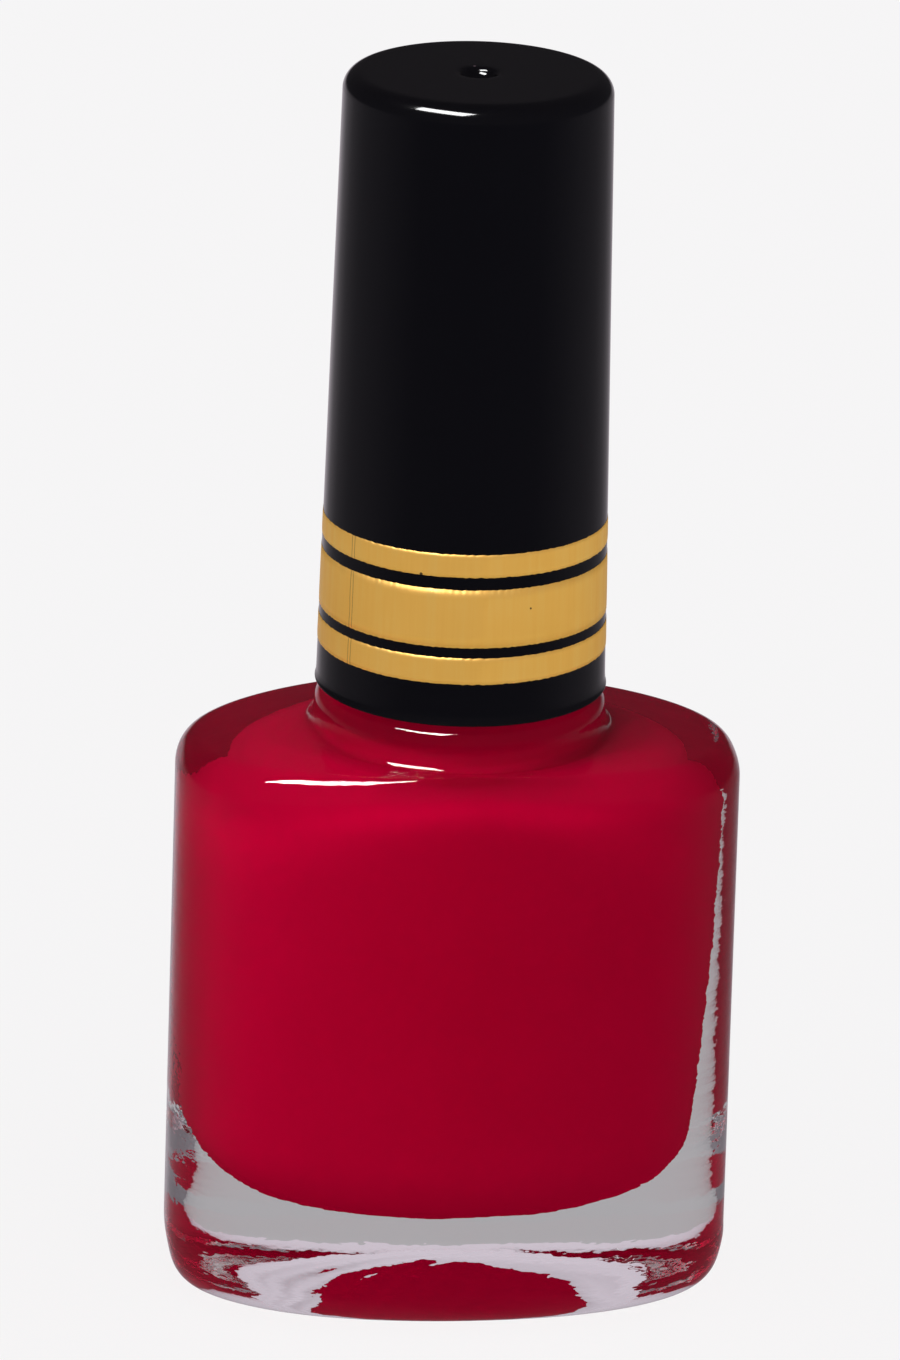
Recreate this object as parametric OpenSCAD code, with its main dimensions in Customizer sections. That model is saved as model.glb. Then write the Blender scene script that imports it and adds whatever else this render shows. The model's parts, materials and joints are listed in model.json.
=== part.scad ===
// Nail polish bottle: an oval glass flask with a screw cap that carries the brush.
// Millimetres, +Z up. The origin is the centre of the flask's foot, X runs along its width.

/* [Glass bottle] */
// Width of the flask at its foot
bottle_w = 38; // [34:0.5:44]
// Width lost between the foot and the shoulder
bottle_taper = 0.4; // [0:0.1:1.5]
// Depth of the flask, front to back
bottle_d = 22.2; // [21:0.2:26]
// Squareness of the oval plan between heel and shoulder and of the dome, where 2 is an ellipse
wall_power = 2.5; // [2:0.05:2.8]
// Squareness of the oval plan at the foot and at the top of the shoulder
round_power = 2.1; // [2:0.05:2.6]
// Height of the shoulder above the foot, beside the neck
shoulder_z = 39.4; // [37:0.2:40.4]
// Fall of the shoulder from the neck out to the ends of the oval
shoulder_fall = 1.0; // [0:0.1:2.5]
// Reach of the rounding between shoulder and wall, at the ends of the oval
shoulder_run_x = 1.6; // [0.8:0.1:4]
// Reach of that rounding at the front and back
shoulder_run_y = 0.8; // [0.4:0.1:1]
// Drop of the rounding between shoulder and wall
shoulder_drop = 2.2; // [1:0.1:4]
// Reach of the rounding at the heel, at the ends of the oval
heel_run_x = 1.7; // [1:0.1:3]
// Reach of the rounding at the heel, at the front and back
heel_run_y = 2.4; // [1:0.1:4]
// Height of the rounding at the heel
heel_rise = 4.1; // [1:0.1:5]
// Height of the hollow dome pressed into the underside
push_up = 2.6; // [0.5:0.1:3.5]
// Width of the flat ring that the flask stands on, at the ends of the oval
foot_ring_x = 2.2; // [2:0.1:4]
// Width of that ring at the front and back
foot_ring_y = 1.2; // [1:0.1:2.5]

/* [Cavity] */
// Squareness of the cavity's oval plan
cavity_power = 1.9; // [1.8:0.05:2.4]
// Thickness of the glass foot
floor_t = 7.3; // [5:0.2:9]
// Glass at the ends of the oval, level with the shoulder
end_wall_top = 4; // [1.5:0.1:4.5]
// Glass at the ends of the oval, level with the cavity's floor
end_wall_foot = 4.9; // [2:0.1:7]
// How far the cavity's floor leans to the left of the flask's middle, as blown
cavity_lean = 0.3; // [0:0.05:1]
// Glass at the front and back
side_wall = 1.6; // [1.2:0.1:2.5]
// Glass over the cavity at the shoulder
shoulder_wall = 1.6; // [1.2:0.1:2.5]
// Rounding of the cavity's floor towards the ends
floor_round_x = 3.6; // [2:0.1:7]
// Rounding of the cavity's floor towards the front and back
floor_round_y = 2.6; // [2:0.1:5]
// Rounding of the cavity's floor, measured up the wall
floor_round_z = 4; // [2:0.1:8]
// Radius of the cavity inside the collar
throat_r = 7.3; // [6:0.1:7.5]

/* [Neck] */
// Radius of the collar under the cap
collar_r = 9.65; // [9:0.05:9.8]
// Rounding of the collar's top edge
collar_round = 1.3; // [0.4:0.1:1.6]
// Height of the hollow fillet between collar and shoulder
collar_fillet = 1.7; // [0.8:0.1:2]
// Horizontal reach of that fillet
fillet_reach = 0.9; // [0.5:0.1:1.5]
// Root radius of the neck's thread
neck_r = 6.6; // [6.2:0.1:7]
// Radius of the neck's bore
bore_r = 4.2; // [3.8:0.1:4.6]
// Height of the neck above the cap's lower edge
neck_h = 13.6; // [12:0.2:15]
// How far a thread stands out of its root
thread_depth = 0.75; // [0.5:0.05:0.9]
// Rise of the thread in one turn
thread_pitch = 2.1; // [1.9:0.1:3]
// Turns of thread on the neck, and in the cap
thread_turns = 1.5; // [1:0.25:1.75]

/* [Cap] */
// Height of the cap's lower edge above the foot
cap_z = 42.5; // [42.3:0.1:44]
// Height of the cap
cap_h = 41.6; // [38:0.2:46]
// Radius of the cap at its lower edge
cap_r_low = 9.6; // [9.5:0.05:10]
// Radius of the cap at its top
cap_r_top = 8.8; // [8.6:0.05:9.4]
// Rounding of the cap's top edge
cap_round = 1.25; // [0.6:0.05:1.6]
// Wall of the cap's outer shell at its thinnest
shell_t = 1.0; // [0.8:0.05:1.2]
// Radius of the moulding gate's dimple in the cap's top
dimple_r = 1.15; // [0.8:0.05:1.5]

/* [Brush] */
// Radius of the brush stem
stem_r = 1.6; // [1.3:0.1:2]
// Length of the bristles that show below the stem
bristle_len = 16; // [12:0.5:18]
// Radius of the bristle tuft near its tip
tuft_r = 2.1; // [1.6:0.1:2.4]
// Gap between the bristles' tips and the cavity's floor
brush_gap = 5.5; // [5:0.5:8]
// Radius of a mixing ball
ball_r = 2; // [1.5:0.25:2.25]

/* [Hidden] */

$fn = 96;
eps = 0.01;
run_gap = 0.1;      // clearance between faces that pass each other
rest_gap = 0.02;    // clearance between faces that rest on each other
plan_steps = 80;    // points in an oval outline
round_steps = 6;    // rings in a rounding

black = [0.02, 0.02, 0.025];
gold = [0.86, 0.66, 0.22];
red = [0.62, 0, 0.10];
glass = [0.86, 0.88, 0.90, 0.35];
steel = [0.75, 0.75, 0.77];

lip_z = cap_z + neck_h;
collar_top_z = cap_z - 0.2;

// A thread ridge: its height at the root and at the crest
ridge_root = 1.1;
ridge_crest = 0.6;
thread_start_z = lip_z - 2.2 - thread_turns * thread_pitch;

// Inner cap: its ridge bears on the underside of the neck's ridge
cap_bore_r = neck_r + thread_depth + run_gap;
cap_thread_start_z = thread_start_z - 0.85;
seal_t = 0.9;
seat_z = lip_z + rest_gap + seal_t + rest_gap;
inner_wall_r = cap_bore_r + 0.75;
inner_foot_z = cap_z + 0.3;
inner_top_z = seat_z + 4.2;

// Brush
tuft_tip_z = floor_t + brush_gap;
stem_foot_z = tuft_tip_z + bristle_len;
stem_head_r = 4.4;
stem_head_t = 1.0;
stem_plug_r = 2.2;
stem_plug_h = 3.2;
tuft_root_r = 1.1;
tuft_root_h = 3.2;
well_r = tuft_r + 0.35;

// Lacquer and the mixing balls in it
fill_z = collar_top_z + 2;
ball_x = 4.5;
ball_travel = 2.5;
ball_z = floor_t + 0.05 + ball_r;

// Gold bands: [lower edge, upper edge] above the cap's lower edge
band_low = [2.9, 4.7];
band_mid = [5.4, 9.35];
band_top = [10.2, 11.75];
foil_t = 0.05;

function half_w(z) = (bottle_w - bottle_taper * z / shoulder_z) / 2;

// Radius of the cap's outside at a height above its lower edge
function cap_r(z) = cap_r_low + (cap_r_top - cap_r_low) * z / cap_h;

// Outline of an oval with half axes a and b
function plan(a, b, power) = [
    for (i = [0 : plan_steps - 1])
        let (t = 360 * (i + 0.5) / plan_steps)
            [a * sign(cos(t)) * pow(abs(cos(t)), 2 / power),
             b * sign(sin(t)) * pow(abs(sin(t)), 2 / power)]
];

// An oval outline at height z
function oval_ring(a, b, power, z) = [for (p = plan(a, b, power)) [p[0], p[1], z]];

// An outline that lies between p and q, at q where k is 1, at height z
function mixed_ring(p, q, k, z) = [
    for (i = [0 : plan_steps - 1]) let (v = p[i] + (q[i] - p[i]) * k) [v[0], v[1], z]
];

// Height of the shoulder at distance d from the axis
function crown(d) = shoulder_z - shoulder_fall * max(0, d - collar_r) / (bottle_w / 2 - collar_r);

// An outline p drawn in along each radius by k times the inset, which is at most part of the way to
// radius r0, and laid below the shoulder by drop
function inset_ring(p, inset, part, r0, k, drop) = [
    for (v = p)
        let (d = norm(v), s = 1 - min(inset, part * (d - r0)) * k / d)
            [v[0] * s, v[1] * s, crown(d * s) - drop]
];

// A circle of radius r in the directions of outline p, drawn out along each by k times the reach, which is
// at most part of the way to the outline, at height z
function circle_ring(p, r, reach, part, k, z) = [
    for (v = p)
        let (d = norm(v), s = (r + min(reach, part * (d - r)) * k) / d)
            [v[0] * s, v[1] * s, z]
];

// A closed solid through rings with the same number of points each
module loft(rings) {
    n = len(rings[0]);
    m = len(rings);
    polyhedron(
        [for (r = rings) each r],
        concat(
            [for (j = [0 : m - 2]) for (i = [0 : n - 1])
                let (p = j * n + i, q = j * n + (i + 1) % n)
                    each [[p, p + n, q + n], [p, q + n, q]]],
            [[for (i = [0 : n - 1]) i]],
            [[for (i = [0 : n - 1]) m * n - 1 - i]]
        )
    );
}

// Outside of the flask, from the foot up to the top of the collar
module flask() {
    half_b = bottle_d / 2;
    foot = plan(half_w(0) - heel_run_x, half_b - heel_run_y, round_power);
    rim = plan(half_w(shoulder_z), half_b, wall_power);
    top = plan(half_w(shoulder_z) - shoulder_run_x, half_b - shoulder_run_y, round_power);
    loft(concat(
        [for (i = [0 : round_steps])
            let (t = 90 * i / round_steps, z = heel_rise * (1 - cos(t)))
                mixed_ring(plan(half_w(z), half_b, wall_power), foot, 1 - sin(t), z)],
        [for (i = [0 : round_steps])
            let (t = 90 * i / round_steps)
                [for (v = mixed_ring(rim, top, 1 - cos(t), 0))
                    [v[0], v[1], crown(norm(v)) - shoulder_drop * (1 - sin(t))]]],
        [for (i = [0 : round_steps])
            let (t = 90 * i / round_steps)
                circle_ring(top, collar_r, fillet_reach, 0.9, 1 - sin(t),
                    shoulder_z + collar_fillet * (1 - cos(t)))],
        [for (i = [1 : 4])
            let (t = 90 * i / 4)
                circle_ring(top, collar_r - collar_round * (1 - cos(t)), 0, 0, 0,
                    collar_top_z - collar_round * (1 - sin(t)))]
    ));
}

// Inside of the flask up to height top, smaller by shrink all round
module cavity(shrink, top) {
    roof_z = shoulder_z - shoulder_wall;
    half_b = bottle_d / 2 - side_wall - shrink;
    throat_z = roof_z + 2;
    function low(z) = pow((roof_z - z) / (roof_z - floor_t), 2);
    function half_a(z) = half_w(z) - end_wall_top - (end_wall_foot - end_wall_top) * low(z) - shrink;
    function leaning(ring, z) = [for (v = ring) [v[0] - cavity_lean * low(z), v[1], v[2]]];
    rim = plan(half_a(roof_z), half_b, cavity_power);
    loft(concat(
        [for (i = [0 : round_steps])
            let (t = 90 * i / round_steps, z = floor_t + floor_round_z * (1 - cos(t)), k = 1 - sin(t))
                leaning(oval_ring(half_a(z) - floor_round_x * k, half_b - floor_round_y * k,
                    cavity_power, z + shrink), z)],
        [for (f = [0.15, 0.3, 0.5, 0.75])
            let (z0 = floor_t + floor_round_z, z = z0 + f * (roof_z - 3 - z0))
                leaning(oval_ring(half_a(z), half_b, cavity_power, z), z)],
        [for (i = [0 : round_steps])
            let (t = 90 * i / round_steps)
                inset_ring(rim, 2.6, 0.6, throat_r, 1 - cos(t), shoulder_wall + shrink + 3 * (1 - sin(t)))],
        [for (i = [1 : round_steps])
            let (t = 90 * i / round_steps)
                circle_ring(rim, throat_r - shrink, 1, 0.35, 1 - sin(t),
                    roof_z + 1.2 * (1 - cos(t)) - shrink)],
        [for (i = [0 : round_steps])
            let (t = 90 * i / round_steps, r = bore_r + (throat_r - bore_r) * cos(t))
                circle_ring(rim, r - shrink, 0, 0, 0, throat_z + 1.9 * sin(t) - shrink)],
        [circle_ring(rim, bore_r - shrink, 0, 0, 0, top)]
    ));
}

// Hollow pressed into the underside, which leaves a flat ring to stand on
module dome() {
    half_a = bottle_w / 2 - heel_run_x - foot_ring_x;
    half_b = bottle_d / 2 - heel_run_y - foot_ring_y;
    loft(concat(
        [oval_ring(half_a, half_b, wall_power, -1)],
        [for (i = [0 : round_steps])
            let (f = 1 - i / (round_steps + 0.5))
                oval_ring(half_a * f, half_b * f, wall_power, push_up * (1 - f * f))]
    ));
}

// A right-handed ridge that starts at height z0, from radius root out or in to radius crest
module thread(root, crest, z0) {
    steps = round(thread_turns * 36);
    side = sign(crest - root);
    loft([
        for (i = [0 : steps])
            let (a = 10 * i, z = z0 + thread_pitch * i / 36,
                 r = root + (crest - root) * min(1, 0.25 + min(i, steps - i) / 4))
                [for (p = [[root, -ridge_root], [root, ridge_root], [r, ridge_crest], [r, -ridge_crest]])
                    [p[0] * cos(a), p[0] * sin(a), z + side * p[1] / 2]]
    ]);
}

module glass_bottle() {
    color(glass) difference() {
        union() {
            flask();
            translate([0, 0, collar_top_z - 1]) cylinder(r = neck_r, h = neck_h + 0.8);
            translate([0, 0, lip_z - 0.4 - eps]) cylinder(r1 = neck_r, r2 = neck_r - 0.4, h = 0.4 + eps);
            thread(neck_r - 0.2, neck_r + thread_depth, thread_start_z);
        }
        cavity(0, lip_z + 1);
        dome();
    }
}

module lacquer() {
    color(red) difference() {
        cavity(rest_gap, fill_z);
        // room for the brush, open at the surface
        translate([0, 0, tuft_tip_z - 0.4]) cylinder(r = well_r, h = lip_z);
        // room for each mixing ball to roll
        for (side = [-1, 1]) {
            translate([side * ball_x, 0, ball_z]) sphere(ball_r + run_gap, $fn = 48);
            translate([side * (ball_x + ball_travel), 0, ball_z]) sphere(ball_r + run_gap, $fn = 48);
            translate([side * (ball_x + ball_travel / 2), 0, ball_z]) rotate([0, 90, 0])
                cylinder(r = ball_r + run_gap, h = ball_travel, center = true, $fn = 48);
        }
    }
}

module mixing_ball(side) {
    color(steel) translate([side * ball_x, 0, ball_z]) sphere(ball_r, $fn = 48);
}

module lip_seal() {
    color("white") translate([0, 0, lip_z + rest_gap]) difference() {
        cylinder(r = neck_r - 0.1, h = seal_t);
        translate([0, 0, -eps]) cylinder(r = stem_r + 0.3, h = seal_t + 2 * eps);
    }
}

module brush_stem() {
    color(black) rotate_extrude() polygon([
        [tuft_root_r, stem_foot_z], [stem_r, stem_foot_z],
        [stem_r, seat_z], [stem_head_r, seat_z],
        [stem_head_r, seat_z + stem_head_t], [stem_plug_r, seat_z + stem_head_t],
        [stem_plug_r, seat_z + stem_plug_h], [0, seat_z + stem_plug_h],
        [0, stem_foot_z + tuft_root_h], [tuft_root_r, stem_foot_z + tuft_root_h]
    ]);
}

module bristle_tuft() {
    root = tuft_root_r - rest_gap;
    color(black) rotate_extrude() polygon([
        [0, tuft_tip_z], [tuft_r * 0.55, tuft_tip_z + 0.3], [tuft_r * 0.9, tuft_tip_z + 1.1],
        [tuft_r, tuft_tip_z + 2.2], [root, stem_foot_z - 0.5],
        [root, stem_foot_z + tuft_root_h - 0.6], [0, stem_foot_z + tuft_root_h - 0.6]
    ]);
}

module tuft_staple() {
    color(steel) translate([0, 0, stem_foot_z + tuft_root_h - 0.3]) rotate([0, 90, 0])
        cylinder(r = 0.2, h = 2 * tuft_root_r - 0.4, center = true, $fn = 24);
}

module inner_cap() {
    color(black) {
        difference() {
            union() {
                translate([0, 0, inner_foot_z])
                    cylinder(r = inner_wall_r - 0.15, h = inner_top_z - inner_foot_z);
                // ribs that grip the outer shell
                for (i = [0 : 11]) rotate([0, 0, 30 * i])
                    translate([inner_wall_r - 0.5, -0.3, inner_foot_z + 1])
                        cube([0.47, 0.6, inner_top_z - inner_foot_z - 2]);
            }
            translate([0, 0, inner_foot_z - 1]) cylinder(r = cap_bore_r, h = seat_z - inner_foot_z + 1);
            translate([0, 0, seat_z - eps])
                cylinder(r = stem_head_r + rest_gap, h = stem_head_t + rest_gap + eps);
            translate([0, 0, seat_z]) cylinder(r = stem_plug_r + rest_gap, h = stem_plug_h + rest_gap);
        }
        thread(cap_bore_r + 0.2, neck_r + run_gap, cap_thread_start_z);
    }
}

module overcap() {
    ledge = inner_top_z + rest_gap - cap_z;
    roof = cap_h - 2.2;
    top_r = cap_r(cap_h - cap_round);
    color(black) translate([0, 0, cap_z]) difference() {
        rotate_extrude() difference() {
            union() {
                polygon([
                    [0, 0], [cap_r_low + 0.08, 0], [cap_r_low + 0.08, 0.25], [cap_r(0.5), 0.5],
                    [top_r, cap_h - cap_round], [top_r - cap_round, cap_h], [0, cap_h]
                ]);
                translate([top_r - cap_round, cap_h - cap_round]) intersection() {
                    circle(cap_round);
                    square(cap_round);
                }
            }
            polygon([
                [0, -1], [inner_wall_r, -1], [inner_wall_r, ledge], [cap_r(ledge) - shell_t - 0.7, ledge],
                [cap_r(roof) - shell_t - 0.7, roof - 0.8], [cap_r(roof) - shell_t - 1.5, roof], [0, roof]
            ]);
        }
        // dimple left by the moulding gate
        translate([0, 0, cap_h]) scale([1, 1, 0.7]) sphere(dimple_r);
    }
}

module gold_band(range) {
    lo = range[0];
    hi = range[1];
    color(gold) translate([0, 0, cap_z]) rotate_extrude() polygon([
        [cap_r(lo) + eps, lo], [cap_r(lo) + foil_t, lo], [cap_r(hi) + foil_t, hi], [cap_r(hi) + eps, hi]
    ]);
}

glass_bottle();
lacquer();
mixing_ball(-1);  // mixing_ball_left
mixing_ball(1);  // mixing_ball_right
lip_seal();
brush_stem();
bristle_tuft();
tuft_staple();
inner_cap();
overcap();
gold_band(band_top);  // gold_band_upper
gold_band(band_mid);  // gold_band_middle
gold_band(band_low);  // gold_band_lower
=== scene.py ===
"""Nail polish bottle: the looks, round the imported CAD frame. Metres, +Z up, origin under the flask."""
import json
import math

import bpy
import numpy as np
from mathutils import Matrix, Vector

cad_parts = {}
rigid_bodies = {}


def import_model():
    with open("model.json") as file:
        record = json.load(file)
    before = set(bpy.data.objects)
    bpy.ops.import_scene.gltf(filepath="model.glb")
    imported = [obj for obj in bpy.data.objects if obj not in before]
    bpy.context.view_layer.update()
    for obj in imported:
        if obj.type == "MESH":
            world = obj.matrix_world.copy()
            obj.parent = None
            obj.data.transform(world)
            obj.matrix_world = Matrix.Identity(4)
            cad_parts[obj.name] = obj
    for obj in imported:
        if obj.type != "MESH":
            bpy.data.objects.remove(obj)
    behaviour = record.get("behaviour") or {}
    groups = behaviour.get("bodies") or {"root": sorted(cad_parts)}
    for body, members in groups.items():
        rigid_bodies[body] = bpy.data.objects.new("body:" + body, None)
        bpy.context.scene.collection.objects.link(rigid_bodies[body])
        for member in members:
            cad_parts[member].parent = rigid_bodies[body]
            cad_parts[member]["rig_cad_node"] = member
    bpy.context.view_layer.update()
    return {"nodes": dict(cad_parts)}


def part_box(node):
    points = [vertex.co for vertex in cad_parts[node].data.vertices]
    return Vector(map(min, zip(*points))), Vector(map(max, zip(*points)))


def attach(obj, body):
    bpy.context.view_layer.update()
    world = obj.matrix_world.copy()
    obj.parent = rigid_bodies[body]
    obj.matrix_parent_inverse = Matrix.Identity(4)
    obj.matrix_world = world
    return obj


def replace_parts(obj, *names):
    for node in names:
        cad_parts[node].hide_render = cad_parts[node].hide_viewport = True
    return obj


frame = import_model()
nodes = frame["nodes"]
MM = 0.001

# ---------------------------------------------------------------- sizes, in millimetres, as in the CAD

W, TAPER, DEPTH = 38.0, 0.4, 22.2
WALL_POWER, ROUND_POWER, CAVITY_POWER = 2.5, 2.1, 1.9
SHOULDER_Z, FALL, RIM_X, RIM_Y, RIM_DROP = 39.4, 1.0, 1.6, 0.8, 2.2
HEEL_X, HEEL_Y, HEEL_RISE = 1.7, 2.4, 4.1
PUSH_UP, FOOT_RING_X, FOOT_RING_Y = 2.6, 2.2, 1.2
FLOOR_T, ROOF_WALL, SIDE_WALL = 7.3, 1.6, 1.6
END_TOP, END_FOOT, LEAN = 4.0, 4.9, 0.3
FLOOR_X, FLOOR_Y, FLOOR_RISE = 3.6, 2.6, 4.0
ROOF_RUN, ROOF_DROP = 2.6, 3.0
THROAT_RISE, THROAT_ROUND, THROAT_FILLET = 2.0, 1.9, 1.2
COLLAR_R, COLLAR_ROUND, FILLET, FILLET_REACH, THROAT_R = 9.65, 1.3, 1.7, 0.9, 7.3
NECK_R, BORE_R, THREAD_DEPTH, PITCH, TURNS = 6.6, 4.2, 0.75, 2.1, 1.5
CAP_Z, CAP_H, CAP_R0, CAP_R1, CAP_ROUND = 42.5, 41.6, 9.6, 8.8, 1.25
TUFT_R, TUFT_ROOT_R, BRISTLES = 2.1, 1.1, 16.0
NECK_H, THREAD_DROP = 13.6, 2.2
LIP_Z = CAP_Z + NECK_H
COLLAR_TOP = CAP_Z - 0.2
FILL_Z = COLLAR_TOP + 2.0
ROOF_Z = SHOULDER_Z - ROOF_WALL
STEM_FOOT = FLOOR_T + 5.5 + BRISTLES

# Sizes that only the looks have
N = 288  # points round the flask
LIP_ROUND, BORE_ROUND, NECK_FILLET = 0.45, 0.35, 0.4
GLASS_RIPPLE, HEEL_RIPPLE = 0.07, 0.035  # how far the glass waves in and out at the foot and heel
WET_OVERLAP = 0.03  # how far the lacquer reaches into the glass, so that no film of air is left
MENISCUS = 0.35
FOIL_SEAM = math.radians(-56)  # where a foil band's ends meet, round from the front
FULL_TURN = 6.28
GOLDEN_ANGLE = 2.399963


# ---------------------------------------------------------------- mesh helpers

def mesh_object(name, verts, faces, body):
    """A smooth mesh from points in millimetres, which rides on a body."""
    me = bpy.data.meshes.new(name)
    me.from_pydata([tuple(v) for v in np.asarray(verts, float) * MM], [], faces)
    me.validate()
    me.update()
    me.polygons.foreach_set("use_smooth", [True] * len(me.polygons))
    obj = bpy.data.objects.new(name, me)
    bpy.context.scene.collection.objects.link(obj)
    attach(obj, body)
    return obj


def skin(rings, start=None, end=None):
    """Points and faces over closed rings (m, n, 3); start and end are points that close the two ends."""
    rings = np.asarray(rings, float)
    m, n, _ = rings.shape
    verts = rings.reshape(-1, 3).tolist()
    faces = []
    for j in range(m - 1):
        for i in range(n):
            k = (i + 1) % n
            faces.append((j * n + i, j * n + k, (j + 1) * n + k, (j + 1) * n + i))
    if start is not None:
        verts.append(list(start))
        c = len(verts) - 1
        faces += [(c, (i + 1) % n, i) for i in range(n)]
    if end is not None:
        verts.append(list(end))
        c = len(verts) - 1
        o = (m - 1) * n
        faces += [(c, o + i, o + (i + 1) % n) for i in range(n)]
    return verts, faces


def revolve(profile, n, wobble):
    """Rings of n points round the axis through profile, a list of (r, z), each out of round by wobble."""
    a = 2 * np.pi * np.arange(n) / n
    rings = []
    for r, z in profile:
        rr = r + wobble(a, z)
        rings.append(np.stack([rr * np.cos(a), rr * np.sin(a), np.full(n, float(z))], 1))
    return np.array(rings)


def arc(cx, cz, rx, rz, a0, a1, steps):
    """Points of an ellipse's arc from angle a0 to a1, in degrees."""
    t = np.radians(np.linspace(a0, a1, steps))
    return [(cx + rx * math.cos(u), cz + rz * math.sin(u)) for u in t]


def line(p, q, steps):
    """Points that lie evenly from p to q, without p."""
    return [tuple(u + (v - u) * k / steps for u, v in zip(p, q)) for k in range(1, steps + 1)]


# ---------------------------------------------------------------- the flask

T = 2 * np.pi * (np.arange(N) + 0.5) / N
C, S = np.cos(T), np.sin(T)


def oval(a, b, power=ROUND_POWER):
    """(N, 2) points of an oval plan, which is an ellipse at power 2."""
    x = a * np.sign(C) * np.abs(C) ** (2 / power)
    y = b * np.sign(S) * np.abs(S) ** (2 / power)
    return np.stack([x, y], 1)


def at(p, z):
    """Points p of a plan at height z, one height or one for each point."""
    return np.column_stack([p, np.full(len(p), z) if np.isscalar(z) else z])


def half_w(z):
    """Half the flask's width at height z."""
    return (W - TAPER * z / SHOULDER_Z) / 2


def crown(d):
    """Height of the shoulder at distance d from the axis."""
    return SHOULDER_Z - FALL * np.maximum(0, d - COLLAR_R) / (W / 2 - COLLAR_R)


def drawn_in(p, inset, part, r0, k, drop):
    """Outline p drawn in by k times the inset and laid below the shoulder by drop.

    The inset is at most part of the way from the outline to radius r0.
    """
    d = np.linalg.norm(p, axis=1)
    s = 1 - np.minimum(inset, part * (d - r0)) * k / d
    return at(p * s[:, None], crown(d * s) - drop)


def circle(p, r, z, reach=0.0, part=0.0, k=0.0):
    """A circle of radius r at height z in the directions of outline p, drawn out by k times the reach.

    The reach is at most part of the way to the outline.
    """
    d = np.linalg.norm(p, axis=1)
    s = (r + np.minimum(reach, part * (d - r)) * k) / d
    return at(p * s[:, None], z)


def between(low, high, steps):
    """Rings that lie evenly between two rings, without the two themselves."""
    return [low + (high - low) * k / steps for k in range(1, steps)]


def ease(steps):
    """Angles over a quarter turn."""
    return np.linspace(0, np.pi / 2, steps)


RIM = oval(half_w(SHOULDER_Z), DEPTH / 2, WALL_POWER)
TOP = oval(half_w(SHOULDER_Z) - RIM_X, DEPTH / 2 - RIM_Y)
DIRS = TOP / np.linalg.norm(TOP, axis=1)[:, None]


def waves(p, z, scale, seed, flat=1.0):
    """A smooth, repeatable ripple of size about 1 over points p at height z, wider by flat."""
    g = np.random.default_rng(seed)
    out = np.zeros(len(p))
    for _ in range(9):
        k = g.normal(0, 1, 3) / scale
        out += np.sin((p[:, 0] * k[0] + p[:, 1] * k[1]) / flat + z * k[2] + g.uniform(0, FULL_TURN))
    return out / 3.5


def rippled(ring, size, scale, seed, flat=1.0):
    """A ring whose points move in or out by a ripple of the given size."""
    w = size * waves(ring, ring[:, 2], scale, seed, flat)
    return ring + at(DIRS * w[:, None], 0.0)


def flask_outside():
    """Rings of the outside, from the middle of the dome under the foot up to the neck's lip."""
    b = DEPTH / 2
    recess = oval(W / 2 - HEEL_X - FOOT_RING_X, b - HEEL_Y - FOOT_RING_Y, WALL_POWER)
    rings = []
    for f in (0.08, 0.16, 0.24, 0.32, 0.4, 0.48, 0.56, 0.64, 0.71, 0.78, 0.84, 0.89, 0.93, 0.96):
        rings.append(at(recess * f, PUSH_UP * (1 - f * f) + GLASS_RIPPLE * waves(recess * f, 0, 0.9, 3)))
    for f, z in ((0.985, 0.09), (1.0, 0.03), (1.02, 0.0), (1.06, 0.0)):
        rings.append(at(recess * f, z))
    for t in ease(24):
        z = HEEL_RISE * (1 - math.cos(t))
        wall = oval(half_w(z), b, WALL_POWER)
        ring = at(wall + (oval(half_w(0) - HEEL_X, b - HEEL_Y) - wall) * (1 - math.sin(t)), z)
        size = HEEL_RIPPLE * math.sin(2 * t) ** 0.5 if 0 < t < 1.57 else 0.0
        rings.append(rippled(ring, size, 0.55, 11, 5.0))
    rounding = []
    for t in ease(20):
        p = RIM + (TOP - RIM) * (1 - math.cos(t))
        rounding.append(at(p, crown(np.linalg.norm(p, axis=1)) - RIM_DROP * (1 - math.sin(t))))
    rings += between(rings[-1], rounding[0], 34) + rounding
    fillet_foot = circle(TOP, COLLAR_R, SHOULDER_Z, FILLET_REACH, 0.9, 1)
    rings += between(rings[-1], fillet_foot, 9)
    for t in ease(14):
        z = SHOULDER_Z + FILLET * (1 - math.cos(t))
        rings.append(circle(TOP, COLLAR_R, z, FILLET_REACH, 0.9, 1 - math.sin(t)))
    for t in ease(12)[1:]:
        r = COLLAR_R - COLLAR_ROUND * (1 - math.cos(t))
        rings.append(at(DIRS * r, COLLAR_TOP - COLLAR_ROUND * (1 - math.sin(t))))
    rings.append(at(DIRS * (NECK_R + NECK_FILLET), COLLAR_TOP))
    for t in ease(4):
        r = NECK_R + NECK_FILLET * (1 - math.sin(t))
        rings.append(at(DIRS * r, COLLAR_TOP + NECK_FILLET * (1 - math.cos(t))))
    rings += threaded_neck()
    lip = arc(NECK_R - LIP_ROUND, LIP_Z - LIP_ROUND, LIP_ROUND, LIP_ROUND, 0, 90, 6)
    lip += arc(BORE_R + BORE_ROUND, LIP_Z - BORE_ROUND, BORE_ROUND, BORE_ROUND, 90, 180, 6)
    return rings + [at(DIRS * r, z) for r, z in lip]


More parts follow.
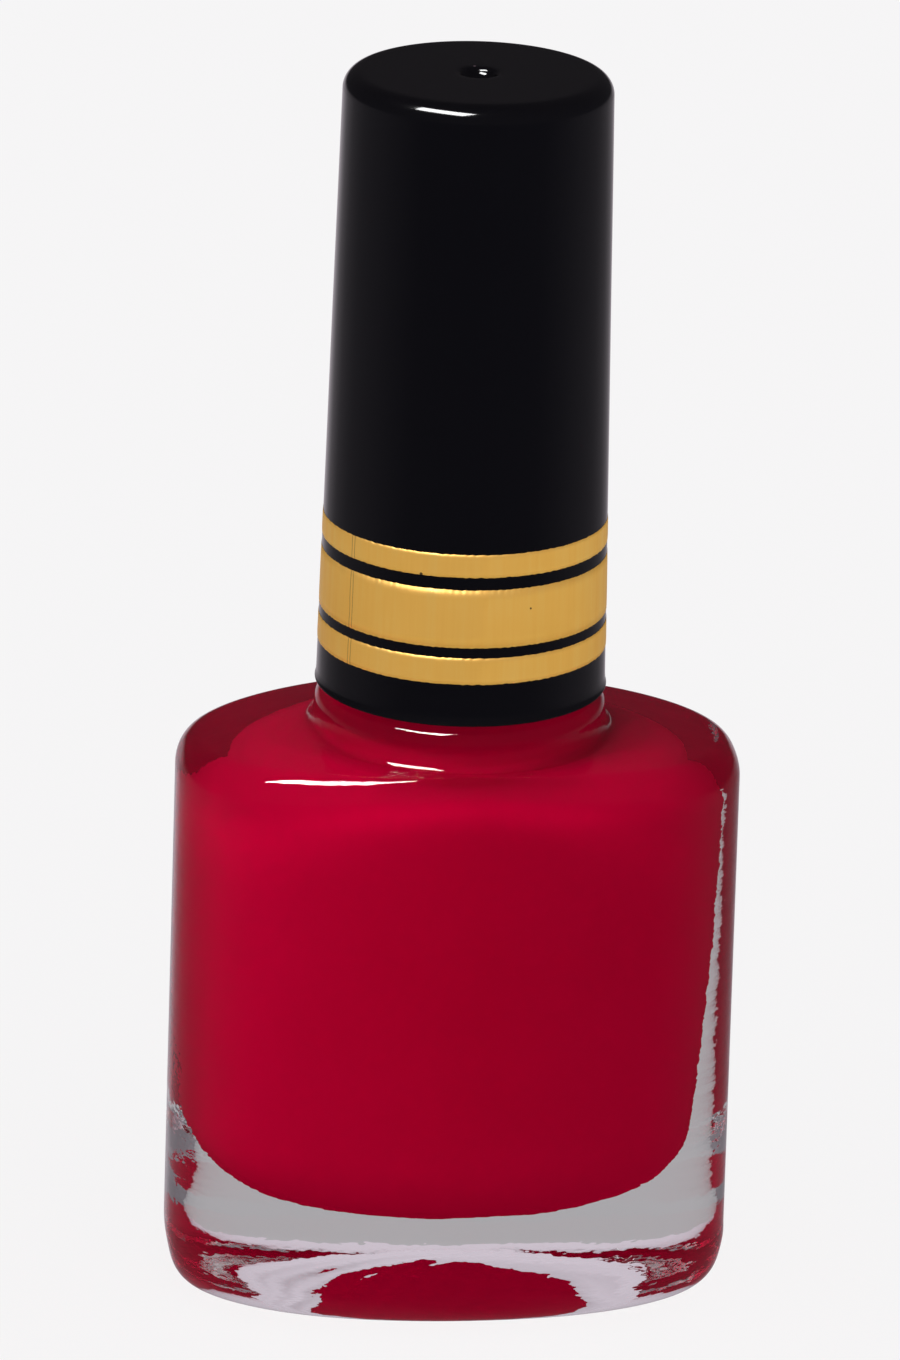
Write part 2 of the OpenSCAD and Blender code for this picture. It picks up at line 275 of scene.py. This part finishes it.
def threaded_neck():
    """Rings of the neck, with one right-handed ridge that fades out at both ends."""
    turn = np.mod(np.arctan2(DIRS[:, 1], DIRS[:, 0]) / (2 * np.pi), 1)
    start = LIP_Z - THREAD_DROP - TURNS * PITCH
    rings = []
    for z in np.arange(COLLAR_TOP + 0.6, LIP_Z - LIP_ROUND, 0.12):
        u = turn + np.clip(np.round((z - start) / PITCH - turn), 0, None)
        far = np.abs(z - (start + PITCH * u))
        fade = np.clip(np.minimum(u, TURNS - u) * 9, 0, 1)
        ridge = np.clip((0.62 - far) / 0.34, 0, 1)
        ridge = ridge * ridge * (3 - 2 * ridge) * fade * (u <= TURNS)
        rings.append(at(DIRS * (NECK_R + THREAD_DEPTH * ridge)[:, None], z))
    return rings


def cavity(grow):
    """Rings of the cavity from the neck's bore down to the floor, larger by grow all round."""
    b = DEPTH / 2 - SIDE_WALL + grow
    throat_z = ROOF_Z + THROAT_RISE

    def low(z):
        return ((ROOF_Z - z) / (ROOF_Z - FLOOR_T)) ** 2

    def half_a(z):
        return half_w(z) - END_TOP - (END_FOOT - END_TOP) * low(z) + grow

    def leaning(p, z):
        return p - np.column_stack([LEAN * low(z) * np.ones(len(p)), np.zeros(len(p))])

    rim = oval(half_a(ROOF_Z), b, CAVITY_POWER)
    rings = [at(DIRS * (BORE_R + grow), z) for z in np.linspace(FILL_Z, throat_z + 2.3, 5)]
    for t in ease(12)[::-1]:
        r = BORE_R + (THROAT_R - BORE_R) * math.cos(t) + grow
        rings.append(circle(rim, r, throat_z + THROAT_ROUND * math.sin(t) + grow))
    for t in ease(12)[::-1]:
        z = ROOF_Z + THROAT_FILLET * (1 - math.cos(t)) + grow
        rings.append(circle(rim, THROAT_R + grow, z, 1.0, 0.35, 1 - math.sin(t)))
    for t in ease(16)[::-1]:
        drop = ROOF_WALL - grow + ROOF_DROP * (1 - math.sin(t))
        rings.append(drawn_in(rim, ROOF_RUN, 0.6, THROAT_R, 1 - math.cos(t), drop))
    top, bottom = rings[-1][:, 2], FLOOR_T + FLOOR_RISE
    for k in range(1, 26):
        z = top + (bottom - top) * k / 26
        rings.append(at(leaning(oval(half_a(z), b, CAVITY_POWER), z), z))
    for t in ease(22)[::-1]:
        z = FLOOR_T + FLOOR_RISE * (1 - math.cos(t))
        k = 1 - math.sin(t)
        p = leaning(oval(half_a(z) - FLOOR_X * k, b - FLOOR_Y * k, CAVITY_POWER), z)
        rings.append(at(p, z - grow + GLASS_RIPPLE * k * waves(p, 0, 1.5, 5)))
    for f in (0.85, 0.7, 0.55, 0.4, 0.2):
        p = leaning(oval(half_a(FLOOR_T) - FLOOR_X, b - FLOOR_Y, CAVITY_POWER) * f, FLOOR_T)
        rings.append(at(p, FLOOR_T - grow + GLASS_RIPPLE * waves(p, 0, 1.5, 5)))
    return rings


def build_glass():
    bore = [at(DIRS * BORE_R, z) for z in np.linspace(LIP_Z - 0.6, FILL_Z + 0.3, 10)]
    rings = flask_outside() + bore + cavity(0.0)
    verts, faces = skin(rings, start=(0, 0, PUSH_UP), end=(-LEAN, 0, FLOOR_T))
    return mesh_object("flask_glass", verts, faces, "bottle")


def build_lacquer():
    rings = cavity(WET_OVERLAP)
    top = rings[0][:, :2]
    surface = [at(top * f, FILL_Z - MENISCUS * (1 - f ** 6)) for f in (0.2, 0.5, 0.75, 0.9, 0.97)]
    low = (-LEAN, 0, FLOOR_T - WET_OVERLAP)
    verts, faces = skin(surface + rings, start=(0, 0, FILL_Z - MENISCUS), end=low)
    return mesh_object("lacquer_fill", verts, faces, "bottle")


# ---------------------------------------------------------------- the cap

def cap_r(z):
    """Radius of the cap's outside at height z."""
    return CAP_R0 + (CAP_R1 - CAP_R0) * (z - CAP_Z) / CAP_H


def build_cap():
    """The outer shell, turned from the gate's dimple in its top down over the rim and up inside."""
    top = CAP_Z + CAP_H
    r = cap_r(top - CAP_ROUND)
    ledge = LIP_Z + 5.16
    roof = top - 2.2
    profile = [(0.34, top - 0.62)] + arc(0, top, 1.18, 0.78, -68, -12, 9)
    profile += [(1.3, top - 0.06), (1.45, top - 0.012), (1.7, top)]
    profile += line((1.7, top), (r - CAP_ROUND, top), 14)
    profile += arc(r - CAP_ROUND, top - CAP_ROUND, CAP_ROUND, CAP_ROUND, 90, 0, 18)[1:]
    profile += line((r, top - CAP_ROUND), (cap_r(CAP_Z + 0.75), CAP_Z + 0.75), 90)
    profile += arc(CAP_R0 - 0.02, CAP_Z + 0.1, 0.1, 0.1, 60, -90, 7)
    profile += [(8.6, CAP_Z), (8.3, CAP_Z + 0.12), (8.2, CAP_Z + 0.35)]
    profile += line((8.2, CAP_Z + 0.35), (8.2, ledge), 12)
    step = (cap_r(ledge) - 1.7, ledge)
    profile += [step] + line(step, (cap_r(roof) - 1.7, roof - 0.8), 8)
    profile += [(cap_r(roof) - 2.5, roof)]

    def wobble(a, z):
        return 0.004 * np.sin(2 * a + 0.13 * z) + 0.003 * np.sin(5 * a - 0.31 * z + 1.0)

    rings = revolve(profile, 256, wobble)[:, ::-1]
    verts, faces = skin(rings, start=(0, 0, top - 0.5), end=(0, 0, roof))
    return mesh_object("cap_shell", verts, faces, "cap")


def build_band(node):
    """A sleeve of foil with slightly ragged edges, in the place of a CAD band."""
    lo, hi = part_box(node)
    z0, z1 = lo.z / MM, hi.z / MM
    n, rows = 720, 6
    a = 2 * np.pi * np.arange(n) / n
    g = np.random.default_rng(len(node))

    def ragged():
        e = np.zeros(n)
        for _ in range(40):
            e += g.normal(0, 0.0022) * np.sin(a * g.integers(3, 150) + g.uniform(0, FULL_TURN))
        return e + g.normal(0, 0.003, n)

    low, high = z0 + ragged(), z1 + ragged()
    rings = []
    for k in range(rows + 1):
        z = low + (high - low) * k / rows
        r = cap_r(z) + (0.03 if 0 < k < rows else 0.018)
        rings.append(np.stack([r * np.cos(a), r * np.sin(a), z], 1))
    for k in (rows, 0):
        z = low + (high - low) * k / rows
        r = cap_r(z) + 0.008
        rings.append(np.stack([r * np.cos(a), r * np.sin(a), z], 1))
    verts, faces = skin(rings)
    m = rows + 3
    faces += [((m - 1) * n + i, (m - 1) * n + (i + 1) % n, (i + 1) % n, i) for i in range(n)]
    return mesh_object("foil_" + node.rsplit("_", 1)[1], verts, faces, "cap")


# ---------------------------------------------------------------- the brush's filaments

def tuft_radius(u):
    """Radius of the tuft at u, from 0 at the stem to 1 at the tips."""
    belly = 0.86  # where the tuft is widest
    swell = math.sin(min(u, belly) / belly * math.pi / 2) ** 1.3
    r = TUFT_ROOT_R - 0.12 + (TUFT_R - TUFT_ROOT_R) * swell
    return r * (1 - 0.45 * max(0.0, (u - belly) / 0.14) ** 2)


def build_tuft(count=230, rows=15, sides=5):
    """Nylon filaments in one mesh, spread from the stem's socket and drawn into locks by the lacquer."""
    g = np.random.default_rng(21)
    locks = g.uniform(0, 2 * np.pi, 26)
    verts, faces = [], []
    for i in range(count):
        rho = math.sqrt((i + 0.5) / count)
        a0 = i * GOLDEN_ANGLE
        near = locks[np.argmin(np.abs(np.angle(np.exp(1j * (locks - a0)))))]
        pull = np.angle(np.exp(1j * (near - a0)))
        dome = 1 - 0.055 * (rho ** 2) - 0.035 * g.random()
        thick = 0.055 + 0.02 * g.random()
        first = len(verts)
        for j in range(rows):
            u = j / (rows - 1)
            v = u * dome
            a = a0 + pull * 0.75 * u ** 1.5 + 0.05 * math.sin(5 * u + i)
            r = tuft_radius(v) * rho * (1 - 0.04 * math.sin(9 * u + 2 * i)) * 0.96
            z = STEM_FOOT + 2.4 - (BRISTLES + 2.2) * v
            w = thick * (1 - 0.55 * max(0.0, (u - 0.9) / 0.1))
            for k in range(sides):
                c = 2 * np.pi * k / sides
                verts.append((r * math.cos(a) + w * math.cos(c), r * math.sin(a) + w * math.sin(c), z))
        for j in range(rows - 1):
            for k in range(sides):
                p, q = first + j * sides + k, first + j * sides + (k + 1) % sides
                faces.append((p, p + sides, q + sides, q))
        faces.append(tuple(first + k for k in range(sides)))
        faces.append(tuple(first + (rows - 1) * sides + k for k in reversed(range(sides))))
    return mesh_object("brush_filaments", verts, faces, "applicator")


# ---------------------------------------------------------------- materials

class Mat:
    """A small helper round one node-based material with a Principled shader."""

    def __init__(self, name):
        self.mat = bpy.data.materials.new(name)
        self.mat.use_nodes = True
        self.nodes, self.links = self.mat.node_tree.nodes, self.mat.node_tree.links
        self.shader = next(n for n in self.nodes if n.type == "BSDF_PRINCIPLED")
        self.coord = self.nodes.new("ShaderNodeTexCoord").outputs["Object"]

    def set(self, **values):
        for key, value in values.items():
            self.shader.inputs[key.replace("_", " ")].default_value = value
        return self

    def link(self, out, socket):
        self.links.new(out, self.shader.inputs[socket])

    def scaled(self, scale):
        node = self.nodes.new("ShaderNodeMapping")
        node.inputs["Scale"].default_value = scale
        self.links.new(self.coord, node.inputs["Vector"])
        return node.outputs["Vector"]

    def noise(self, scale, detail=3.0, rough=0.55, vector=None):
        node = self.nodes.new("ShaderNodeTexNoise")
        node.inputs["Scale"].default_value = scale
        node.inputs["Detail"].default_value = detail
        node.inputs["Roughness"].default_value = rough
        self.links.new(vector or self.coord, node.inputs["Vector"])
        return node.outputs["Fac"]

    def specks(self, scale, size, least):
        """1 in dots of a size, in the cells whose random value is above least, and 0 elsewhere."""
        node = self.nodes.new("ShaderNodeTexVoronoi")
        node.inputs["Scale"].default_value = scale
        self.links.new(self.coord, node.inputs["Vector"])
        dot = self.math("LESS_THAN", node.outputs["Distance"], size)
        held = self.math("GREATER_THAN", self.split(node.outputs["Color"])[0], least)
        return self.math("MULTIPLY", dot, held)

    def ramp(self, source, stops):
        node = self.nodes.new("ShaderNodeValToRGB")
        while len(node.color_ramp.elements) < len(stops):
            node.color_ramp.elements.new(0.5)
        for e, (pos, value) in zip(node.color_ramp.elements, stops):
            e.position = pos
            e.color = (*value, 1) if not np.isscalar(value) else (value, value, value, 1)
        self.links.new(source, node.inputs["Fac"])
        return node.outputs["Color"]

    def math(self, op, a, b=0.0):
        node = self.nodes.new("ShaderNodeMath")
        node.operation = op
        for k, v in enumerate((a, b)):
            if isinstance(v, (int, float)):
                node.inputs[k].default_value = v
            else:
                self.links.new(v, node.inputs[k])
        return node.outputs[0]

    def mix(self, fac, a, b):
        node = self.nodes.new("ShaderNodeMix")
        node.data_type = "RGBA"
        for socket, v in ((node.inputs[0], fac), (node.inputs[6], a), (node.inputs[7], b)):
            if isinstance(v, tuple):
                socket.default_value = (*v, 1)
            else:
                self.links.new(v, socket)
        return node.outputs[2]

    def bump(self, height, strength, distance):
        node = self.nodes.new("ShaderNodeBump")
        node.inputs["Strength"].default_value = strength
        node.inputs["Distance"].default_value = distance
        self.links.new(height, node.inputs["Height"])
        self.link(node.outputs["Normal"], "Normal")

    def split(self, vector):
        node = self.nodes.new("ShaderNodeSeparateXYZ")
        self.links.new(vector, node.inputs[0])
        return node.outputs


def paint(obj, m):
    """Gives a piece its material, and a piece that scene.py made its slot too."""
    obj.data.materials.clear()
    obj.data.materials.append(m.mat)
    return obj


def glass_material():
    m = Mat("clear_glass").set(Transmission_Weight=1.0, IOR=1.5, Roughness=0.0)
    m.set(Base_Color=(0.975, 0.965, 1.0, 1))
    m.bump(m.noise(300, 3.0, 0.5, m.scaled((1, 1, 2.2))), 0.12, 0.0004)
    return m


def lacquer_material():
    m = Mat("red_lacquer").set(Roughness=0.6, IOR=1.5, Specular_IOR_Level=0.0)
    tone = m.ramp(m.noise(55, 3), [(0.3, (0.485, 0.0004, 0.028)), (0.7, (0.52, 0.0005, 0.032))])
    m.link(m.mix(m.specks(260, 0.035, 0.9), tone, (0.9, 0.2, 0.18)), "Base Color")
    return m


def cap_material():
    m = Mat("gloss_black").set(IOR=1.49)
    dust = m.specks(420, 0.045, 0.88)
    m.link(m.mix(dust, (0.0046, 0.0046, 0.0062), (0.13, 0.10, 0.11)), "Base Color")
    m.link(m.ramp(m.noise(160, 4), [(0.35, 0.07), (0.7, 0.13)]), "Roughness")
    m.bump(m.noise(900, 2), 0.03, 0.0001)
    return m


def foil_material():
    """Brushed gold foil with two fine dark lines where its ends meet."""
    m = Mat("gold_foil").set(Metallic=0.25, IOR=1.45)
    streak = m.noise(1500, 3, 0.6, m.scaled((1, 1, 0.04)))
    cloud = m.noise(220, 4, 0.6)
    tone = m.ramp(m.math("ADD", m.math("MULTIPLY", streak, 0.6), m.math("MULTIPLY", cloud, 0.4)),
                  [(0.30, (0.95, 0.53, 0.085)), (0.50, (0.99, 0.57, 0.10)), (0.72, (1.0, 0.63, 0.14))])
    place = m.split(m.coord)
    turn = m.math("ARCTAN2", place[0], m.math("MULTIPLY", place[1], -1.0))
    wander = m.math("MULTIPLY", m.math("SUBTRACT", m.noise(900, 2), 0.5), 0.012)
    off = m.math("ADD", m.math("SUBTRACT", turn, FOIL_SEAM), wander)
    from_line = m.math("ABSOLUTE", m.math("SUBTRACT", m.math("ABSOLUTE", off), 0.014))
    seam = m.math("LESS_THAN", from_line, 0.0035)
    dark = m.math("MAXIMUM", m.specks(1100, 0.12, 0.95), m.math("MULTIPLY", seam, 0.55))
    m.link(m.mix(dark, tone, (0.10, 0.06, 0.02)), "Base Color")
    m.link(m.ramp(streak, [(0.3, 0.52), (0.7, 0.38)]), "Roughness")
    m.bump(streak, 0.04, 0.00005)
    return m


def plastic_material(name, colour, rough):
    m = Mat(name).set(Roughness=rough)
    tone = m.noise(500, 3)
    dark = tuple(c * 0.8 for c in colour)
    m.link(m.ramp(tone, [(0.3, dark), (0.7, colour)]), "Base Color")
    m.bump(m.noise(2500, 2), 0.15, 0.00005)
    return m


def steel_material(name):
    m = Mat(name).set(Metallic=1.0)
    tone = m.noise(1500, 3)
    m.link(m.ramp(tone, [(0.3, (0.6, 0.6, 0.61)), (0.7, (0.72, 0.72, 0.73))]), "Base Color")
    m.link(m.ramp(tone, [(0.3, 0.18), (0.7, 0.3)]), "Roughness")
    return m


def wet_material(name, colour, dry_z):
    """A dark plastic that wears a glossy film of lacquer below height dry_z, with an uneven edge."""
    m = Mat(name).set(Roughness=0.32, Coat_Weight=0.6, Coat_Roughness=0.04)
    height = m.math("ADD", m.split(m.coord)[2], m.math("MULTIPLY", m.noise(700, 2), 0.0012))
    wet = m.ramp(m.math("DIVIDE", height, dry_z * MM * 2), [(0.492, 1.0), (0.508, 0.0)])
    film = m.ramp(m.noise(900, 3), [(0.3, (0.36, 0.0, 0.02)), (0.7, (0.46, 0.001, 0.032))])
    m.link(m.mix(wet, colour, film), "Base Color")
    m.bump(m.noise(1400, 2), 0.12, 0.0001)
    return m


glass = paint(build_glass(), glass_material())
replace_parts(glass, "glass_bottle")
lacquer = paint(build_lacquer(), lacquer_material())
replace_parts(lacquer, "lacquer")
cap = paint(build_cap(), cap_material())
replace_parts(cap, "overcap")
foil = foil_material()
for node in ("gold_band_upper", "gold_band_middle", "gold_band_lower"):
    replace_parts(paint(build_band(node), foil), node)
wet_bristle = wet_material("wet_bristle", (0.02, 0.018, 0.02), STEM_FOOT + 1.0)
tuft = paint(build_tuft(), wet_bristle)
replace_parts(tuft, "bristle_tuft")
for node, m in (
    ("inner_cap", plastic_material("sleeve_black", (0.03, 0.03, 0.032), 0.45)),
    ("lip_seal", plastic_material("seal_white", (0.8, 0.8, 0.78), 0.7)),
    ("brush_stem", wet_material("wet_stem", (0.012, 0.012, 0.013), FILL_Z - 2.0)),
):
    paint(nodes[node], m)
steel = steel_material("steel")
for node in ("mixing_ball_left", "mixing_ball_right", "tuft_staple"):
    paint(nodes[node], steel)

# ---------------------------------------------------------------- stage, lights, camera

class Sky:
    """Brightness of the surroundings by direction, told apart by what kind of ray sees them."""

    def __init__(self, tree):
        self.nodes, self.links = tree.nodes, tree.links
        coord = self.add("ShaderNodeTexCoord").outputs["Generated"]
        self.way = self.add("ShaderNodeSeparateXYZ", coord).outputs
        self.path = self.add("ShaderNodeLightPath").outputs

    def add(self, kind, *inputs):
        node = self.nodes.new(kind)
        for k, v in enumerate(inputs):
            if isinstance(v, (int, float)):
                node.inputs[k].default_value = v
            else:
                self.links.new(v, node.inputs[k])
        return node

    def math(self, op, a, b=0.0):
        node = self.add("ShaderNodeMath", a, b)
        node.operation = op
        return node.outputs[0]

    def slope(self, axis, stops):
        """Values at places from -1 to 1 along an axis, eased between."""
        unit = self.math("ADD", self.math("MULTIPLY", self.way[axis], 0.5), 0.5)
        node = self.nodes.new("ShaderNodeValToRGB")
        while len(node.color_ramp.elements) < len(stops):
            node.color_ramp.elements.new(0.5)
        for e, (pos, value) in zip(node.color_ramp.elements, stops):
            e.position = (pos + 1) / 2
            e.color = (value, value, value, 1)
        self.links.new(unit, node.inputs["Fac"])
        return node.outputs["Color"]

    def choose(self, switch, yes, no):
        """The number yes where switch is 1, and no where it is 0."""
        node = self.nodes.new("ShaderNodeMix")
        node.data_type = "FLOAT"
        for socket, v in ((node.inputs[0], switch), (node.inputs[2], no), (node.inputs[3], yes)):
            if isinstance(v, (int, float)):
                socket.default_value = v
            else:
                self.links.new(v, socket)
        return node.outputs[0]

    def soft_key(self, base, gain, towards):
        """A broad light that is brightest in the direction towards."""
        out = base
        for axis, share in enumerate(Vector(towards).normalized()):
            out = self.math("ADD", self.math("MULTIPLY", self.way[axis], gain * share), out)
        return out


WHITE = 0.93  # the backdrop as the camera sees it
LILAC = (1.0, 0.91, 0.99, 1)  # tint of the studio's light
Y, Z = 1, 2  # axes of a direction

world = bpy.data.worlds.new("studio")
bpy.context.scene.world = world
world.use_nodes = True
world.cycles.sampling_method = "NONE"
sky = Sky(world.node_tree)
lit = sky.soft_key(0.70, 0.50, (0.1, -0.85, -0.6))
below = sky.slope(Z, [(-0.12, 1.0), (0.0, 0.0)])
edge = sky.slope(Y, [
    (-1.0, 0.0), (-0.6, 0.01), (0.0, 0.09), (0.45, 0.12), (0.7, 0.17), (0.85, 0.28), (1.0, 0.7),
])
gloss = sky.choose(below, edge, 0.035)
through = sky.slope(Y, [(-1.0, 0.06), (-0.4, 0.16), (0.1, 0.42), (1.0, 0.66)])
seen = sky.choose(sky.path["Is Transmission Ray"], through, gloss)
seen = sky.choose(sky.math("GREATER_THAN", sky.path["Diffuse Depth"], 0.5), lit, seen)
seen = sky.choose(sky.path["Is Camera Ray"], WHITE, seen)
background = next(n for n in sky.nodes if n.type == "BACKGROUND")
tint = sky.nodes.new("ShaderNodeMix")
tint.data_type = "RGBA"
tint.inputs[6].default_value = LILAC
tint.inputs[7].default_value = (1, 1, 1, 1)
sky.links.new(sky.path["Is Camera Ray"], tint.inputs[0])
sky.links.new(tint.outputs[2], background.inputs["Color"])
sky.links.new(seen, background.inputs["Strength"])

me = bpy.data.meshes.new("floor")
me.from_pydata([(-3, -3, 0), (3, -3, 0), (3, 3, 0), (-3, 3, 0)], [], [(0, 1, 2, 3)])
floor = bpy.data.objects.new("floor", me)
bpy.context.scene.collection.objects.link(floor)
mat = bpy.data.materials.new("pale_floor")
mat.use_nodes = True
ground = Sky(mat.node_tree)
glow = ground.add("ShaderNodeEmission")
first_look = ground.choose(ground.path["Is Transmission Ray"], 0.38, WHITE * 0.91)
after_matt = ground.math("GREATER_THAN", ground.path["Diffuse Depth"], 0.5)
glow_by_ray = ground.choose(after_matt, 0.62, first_look)
ground.links.new(glow_by_ray, glow.inputs["Strength"])
matt = ground.add("ShaderNodeBsdfDiffuse")
matt.inputs["Color"].default_value = (0.145, 0.145, 0.145, 1)
both = ground.add("ShaderNodeAddShader", glow.outputs[0], matt.outputs[0])
output = next(n for n in ground.nodes if n.type == "OUTPUT_MATERIAL")
ground.links.new(both.outputs[0], output.inputs["Surface"])
me.materials.append(mat)
floor.visible_glossy = False


def light(name, az, el, dist, size, power, aim=(0, 0, 40)):
    """An area light at azimuth az, where 0 is the front and negative is left, and elevation el."""
    data = bpy.data.lights.new(name, "AREA")
    data.shape = "RECTANGLE"
    data.size, data.size_y = size
    data.energy = power
    obj = bpy.data.objects.new(name, data)
    bpy.context.scene.collection.objects.link(obj)
    a, e = math.radians(az), math.radians(el)
    away = Vector((math.sin(a) * math.cos(e), -math.cos(a) * math.cos(e), math.sin(e)))
    obj.location = Vector(aim) * MM + away * dist
    obj.rotation_mode = "QUATERNION"
    obj.rotation_quaternion = away.to_track_quat("Z", "Y")
    return obj


strip = light("strip", az=-47, el=60, dist=0.55, size=(0.34, 0.16), power=5.0)
strip.visible_diffuse = False
strip.visible_transmission = False

CAM_DISTANCE, CAM_RIGHT, CAM_UP = 563.0, -0.684, -0.133
target = Vector((0, 0, CAP_Z))
az, el = math.radians(-5.7), math.radians(19.31)
back = Vector((math.sin(az) * math.cos(el), -math.cos(az) * math.cos(el), math.sin(el)))
right = Vector((math.cos(az), math.sin(az), 0))
up = back.cross(right)
roll = math.radians(1.75)
cam_data = bpy.data.cameras.new("camera")
cam_data.lens = 224.6
cam_data.sensor_width = 36
cam_data.clip_start, cam_data.clip_end = 0.05, 20
camera = bpy.data.objects.new("camera", cam_data)
bpy.context.scene.collection.objects.link(camera)
place = target + back * CAM_DISTANCE + right * CAM_RIGHT + up * CAM_UP
turned_up = up * math.cos(roll) - right * math.sin(roll)
turned_right = right * math.cos(roll) + up * math.sin(roll)
rot = Matrix((turned_right, turned_up, back)).transposed()
camera.matrix_world = Matrix.Translation(place * MM) @ rot.to_4x4()
bpy.context.scene.camera = camera

bpy.context.scene.view_settings.view_transform = "Standard"
cycles = bpy.context.scene.cycles
cycles.max_bounces = 24
cycles.transmission_bounces = 16
cycles.glossy_bounces = 12
cycles.diffuse_bounces = 6
cycles.caustics_refractive = True
cycles.caustics_reflective = True
